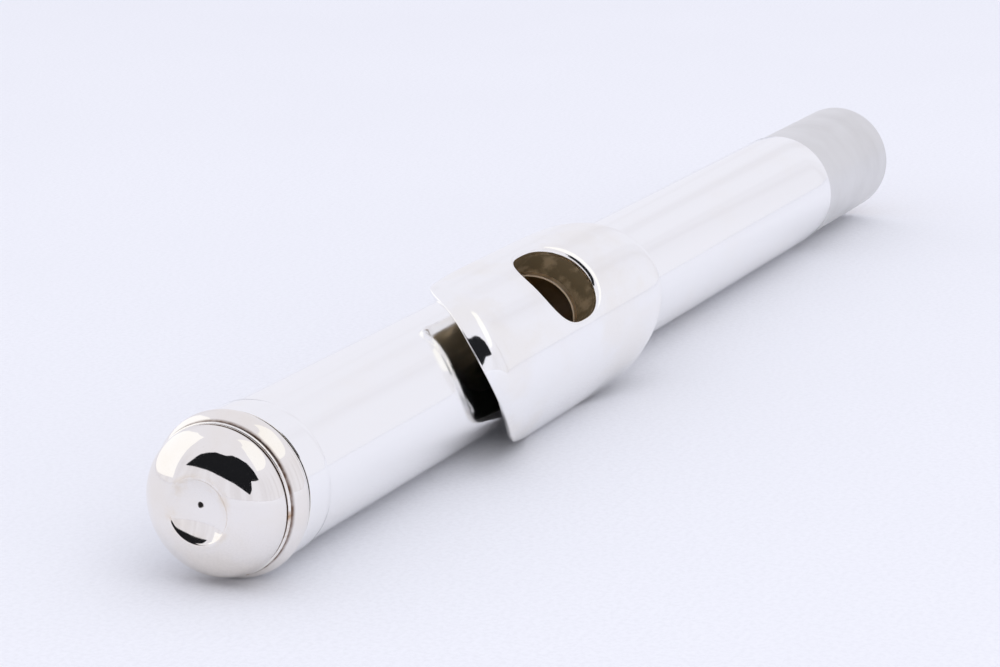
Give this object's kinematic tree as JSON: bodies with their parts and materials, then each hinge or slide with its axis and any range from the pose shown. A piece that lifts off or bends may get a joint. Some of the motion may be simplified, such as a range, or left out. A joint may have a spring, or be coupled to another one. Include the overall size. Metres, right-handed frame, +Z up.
{
  "type": "piccolo head joint",
  "caption": "Metal piccolo head joint with a domed screw crown, riser and lip plate, oval embouchure hole, adjustable cork stopper and tenon.",
  "frame": {"origin": "on the surface that the joint lies on, under the middle of its bounding box", "axes": "+X along the tube from the crown to the tenon, +Z up, -Y towards the player's side, where the lip plate leans down to the surface"},
  "size_m": [0.1406, 0.0148, 0.0147],
  "materials": {
    "silver_plate": "polished silver plate, fine wear",
    "tarnished_silver": "silver plate with brown tarnish",
    "brass": "turned, dull",
    "cork": "natural cork, waxed"
  },
  "bodies": {
    "head": {"head_tube": "silver_plate", "crown_band": "silver_plate", "riser": "tarnished_silver", "lip_plate": "silver_plate"},
    "crown": {"crown_cap": "silver_plate", "crown_bead": "tarnished_silver", "crown_flange": "silver_plate", "crown_bush": "brass"},
    "stopper": {"stopper_rod": "brass", "cork_nut": "brass", "cork_plate": "silver_plate", "head_cork": "cork", "reflector_plate": "silver_plate"}
  },
  "joints": [
    {"name": "crown_turn", "type": "hinge", "parent": "head", "child": "crown", "pos_m": [-0.06718, 0.00113, 0.0063], "axis": [1, 0, 0], "range_deg": [0, 1440]},
    {"name": "stopper_draw", "type": "slide", "parent": "head", "child": "stopper", "axis": [-1, 0, 0], "range_m": [0, 0.0028]}
  ],
  "couplings": [
    {"joint": "stopper_draw", "follows": "crown_turn", "m_per_rad": 0.0001114}
  ]
}
